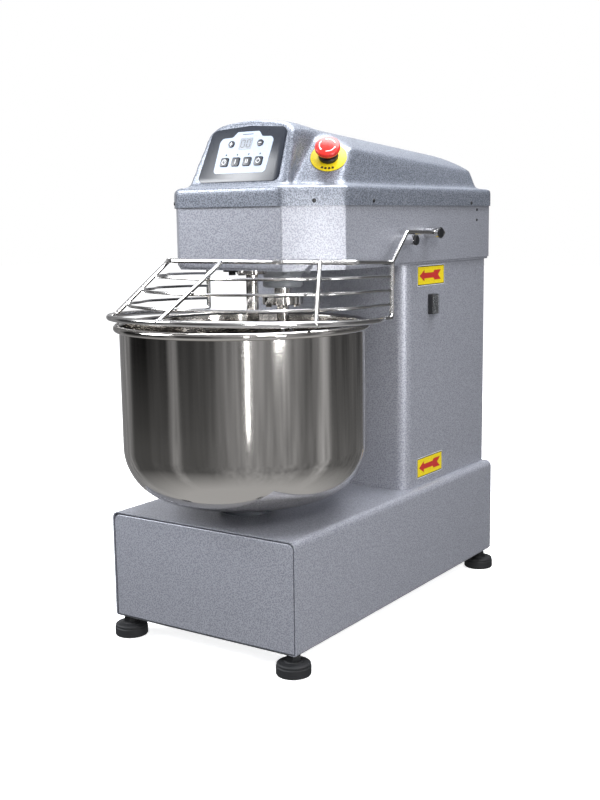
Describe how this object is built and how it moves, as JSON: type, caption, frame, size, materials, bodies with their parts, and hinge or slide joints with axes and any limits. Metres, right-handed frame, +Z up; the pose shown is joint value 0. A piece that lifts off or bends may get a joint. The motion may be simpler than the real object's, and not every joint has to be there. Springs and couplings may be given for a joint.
{
  "type": "spiral dough mixer",
  "caption": "Free-standing spiral dough mixer with a turning stainless bowl, spiral hook, divider bar, lifting wire guard, sloping control panel and emergency stop.",
  "frame": {"origin": "centre of the footprint of the whole machine's bounding box, on the floor under the feet", "axes": "+Z up, -Y towards the front where the bowl and the control panel are, +X towards the side with the emergency stop and the power switch"},
  "size_m": [0.469, 0.8137, 0.8783],
  "materials": {
    "grey_hammertone": "hammertone enamel, satin",
    "dark_hammertone": "dark hammertone enamel, satin",
    "polished_stainless": "mirror-polished stainless steel with a fine turned grain",
    "stainless_wire": "electropolished stainless wire",
    "machined_steel": "machined steel",
    "grey_cast_iron": "painted cast iron",
    "grey_enamel": "grey enamel",
    "black_rubber": "moulded rubber",
    "black_plastic": "moulded ABS",
    "panel_film": "printed polyester film",
    "key_film": "domed membrane keys",
    "yellow_plate": "yellow legend plate",
    "red_plastic": "red moulded button",
    "clear_plastic": "clear flexible cover"
  },
  "bodies": {
    "frame": {"base_shell": "grey_hammertone", "base_front_panel": "grey_hammertone", "base_bottom_plate": "machined_steel", "foot_front_left": "black_rubber", "foot_rear_left": "black_rubber", "foot_front_right": "black_rubber", "foot_rear_right": "black_rubber", "column_shell": "grey_hammertone", "column_rear_cover": "grey_hammertone", "cable_gland": "black_plastic", "switch_frame": "black_plastic", "head_shell": "grey_hammertone", "head_tray": "grey_hammertone", "hood": "dark_hammertone", "control_box": "black_plastic", "panel_overlay": "panel_film", "e_stop_plate": "yellow_plate", "e_stop_collar": "black_plastic", "guard_stop_right": "stainless_wire", "guard_stop_left": "stainless_wire", "bowl_bearing_housing": "grey_cast_iron", "bowl_chain": "machined_steel", "base_chain": "machined_steel", "jackshaft_bracket": "grey_cast_iron", "motor": "grey_cast_iron", "drive_belt": "black_rubber", "head_chain": "machined_steel", "spiral_bearing_housing": "grey_enamel", "breaker_bar": "polished_stainless"},
    "bowl": {"bowl": "polished_stainless", "bowl_shaft": "machined_steel", "bowl_sprocket": "machined_steel"},
    "spiral": {"spiral_hook": "polished_stainless", "spiral_sprocket": "machined_steel"},
    "idler": {"idler_sprockets": "machined_steel"},
    "jackshaft": {"jackshaft": "machined_steel", "jackshaft_pulley": "grey_cast_iron", "jackshaft_upper_sprocket": "machined_steel", "jackshaft_lower_sprocket": "machined_steel"},
    "motor_rotor": {"motor_pulley": "machined_steel"},
    "guard": {"guard_frame": "stainless_wire", "guard_ring": "stainless_wire", "guard_rib_right": "stainless_wire", "guard_rib_left": "stainless_wire", "guard_rib_middle": "stainless_wire", "guard_wire_1": "stainless_wire", "guard_wire_2": "stainless_wire", "guard_wire_3": "stainless_wire", "guard_pivot_right": "stainless_wire", "guard_pivot_left": "stainless_wire"},
    "e_stop_plunger": {"e_stop_plunger": "machined_steel"},
    "e_stop_head": {"e_stop_head": "red_plastic"},
    "switch_rocker": {"switch_rocker": "black_plastic"},
    "switch_flap": {"switch_flap": "clear_plastic"},
    "key_timer": {"key_timer": "key_film"},
    "key_slow": {"key_slow": "key_film"},
    "key_fast": {"key_fast": "key_film"},
    "key_start_stop": {"key_start_stop": "key_film"},
    "key_plus": {"key_plus": "key_film"},
    "key_minus": {"key_minus": "key_film"}
  },
  "joints": [
    {"name": "bowl_spin", "type": "hinge", "parent": "frame", "child": "bowl", "pos_m": [0, -0.18365, 0.235], "axis": [0, 0, 1], "continuous": true},
    {"name": "spiral_spin", "type": "hinge", "parent": "frame", "child": "spiral", "pos_m": [0, -0.06615, 0.62], "axis": [0, 0, 1], "continuous": true},
    {"name": "idler_spin", "type": "hinge", "parent": "frame", "child": "idler", "pos_m": [0, -0.01465, 0.14], "axis": [0, 0, 1], "continuous": true},
    {"name": "jackshaft_spin", "type": "hinge", "parent": "frame", "child": "jackshaft", "pos_m": [0, 0.15435, 0.42], "axis": [0, 0, 1], "continuous": true},
    {"name": "motor_spin", "type": "hinge", "parent": "frame", "child": "motor_rotor", "pos_m": [0, 0.30935, 0.64], "axis": [0, 0, 1], "continuous": true},
    {"name": "guard_lift", "type": "hinge", "parent": "frame", "child": "guard", "pos_m": [0, 0.13535, 0.6865], "axis": [-1, 0, 0], "range_deg": [0, 75]},
    {"name": "e_stop_press", "type": "slide", "parent": "frame", "child": "e_stop_plunger", "axis": [-0.3648, 0.6862, -0.6293], "range_m": [0, 0.005], "stiffness_N_per_m": 1500, "springref_m": -0.004},
    {"name": "e_stop_twist", "type": "hinge", "parent": "e_stop_plunger", "child": "e_stop_head", "pos_m": [0.13091, -0.11898, 0.82566], "axis": [0.3648, -0.6862, 0.6293], "range_deg": [0, 40], "stiffness_Nm_per_rad": 0.05},
    {"name": "switch_rocker_tilt", "type": "hinge", "parent": "frame", "child": "switch_rocker", "pos_m": [0.169, 0.16485, 0.5565], "axis": [0, 1, 0], "range_deg": [0, 20]},
    {"name": "switch_flap_lift", "type": "hinge", "parent": "frame", "child": "switch_flap", "pos_m": [0.1818, 0.16485, 0.5745], "axis": [0, -1, 0], "range_deg": [0, 100]},
    {"name": "key_timer_press", "type": "slide", "parent": "frame", "child": "key_timer", "axis": [0, 0.9078, -0.4195], "range_m": [0, 0.0005], "stiffness_N_per_m": 500, "springref_m": -0.0003},
    {"name": "key_slow_press", "type": "slide", "parent": "frame", "child": "key_slow", "axis": [0, 0.9078, -0.4195], "range_m": [0, 0.0005], "stiffness_N_per_m": 500, "springref_m": -0.0003},
    {"name": "key_fast_press", "type": "slide", "parent": "frame", "child": "key_fast", "axis": [0, 0.9078, -0.4195], "range_m": [0, 0.0005], "stiffness_N_per_m": 500, "springref_m": -0.0003},
    {"name": "key_start_stop_press", "type": "slide", "parent": "frame", "child": "key_start_stop", "axis": [0, 0.9078, -0.4195], "range_m": [0, 0.0005], "stiffness_N_per_m": 500, "springref_m": -0.0003},
    {"name": "key_plus_press", "type": "slide", "parent": "frame", "child": "key_plus", "axis": [0, 0.9078, -0.4195], "range_m": [0, 0.0005], "stiffness_N_per_m": 500, "springref_m": -0.0003},
    {"name": "key_minus_press", "type": "slide", "parent": "frame", "child": "key_minus", "axis": [0, 0.9078, -0.4195], "range_m": [0, 0.0005], "stiffness_N_per_m": 500, "springref_m": -0.0003}
  ],
  "couplings": [
    {"joint": "spiral_spin", "follows": "bowl_spin", "ratio": 7.4874},
    {"joint": "idler_spin", "follows": "bowl_spin", "ratio": 4.2222},
    {"joint": "jackshaft_spin", "follows": "bowl_spin", "ratio": 16.044},
    {"joint": "motor_spin", "follows": "bowl_spin", "ratio": 51.927}
  ]
}
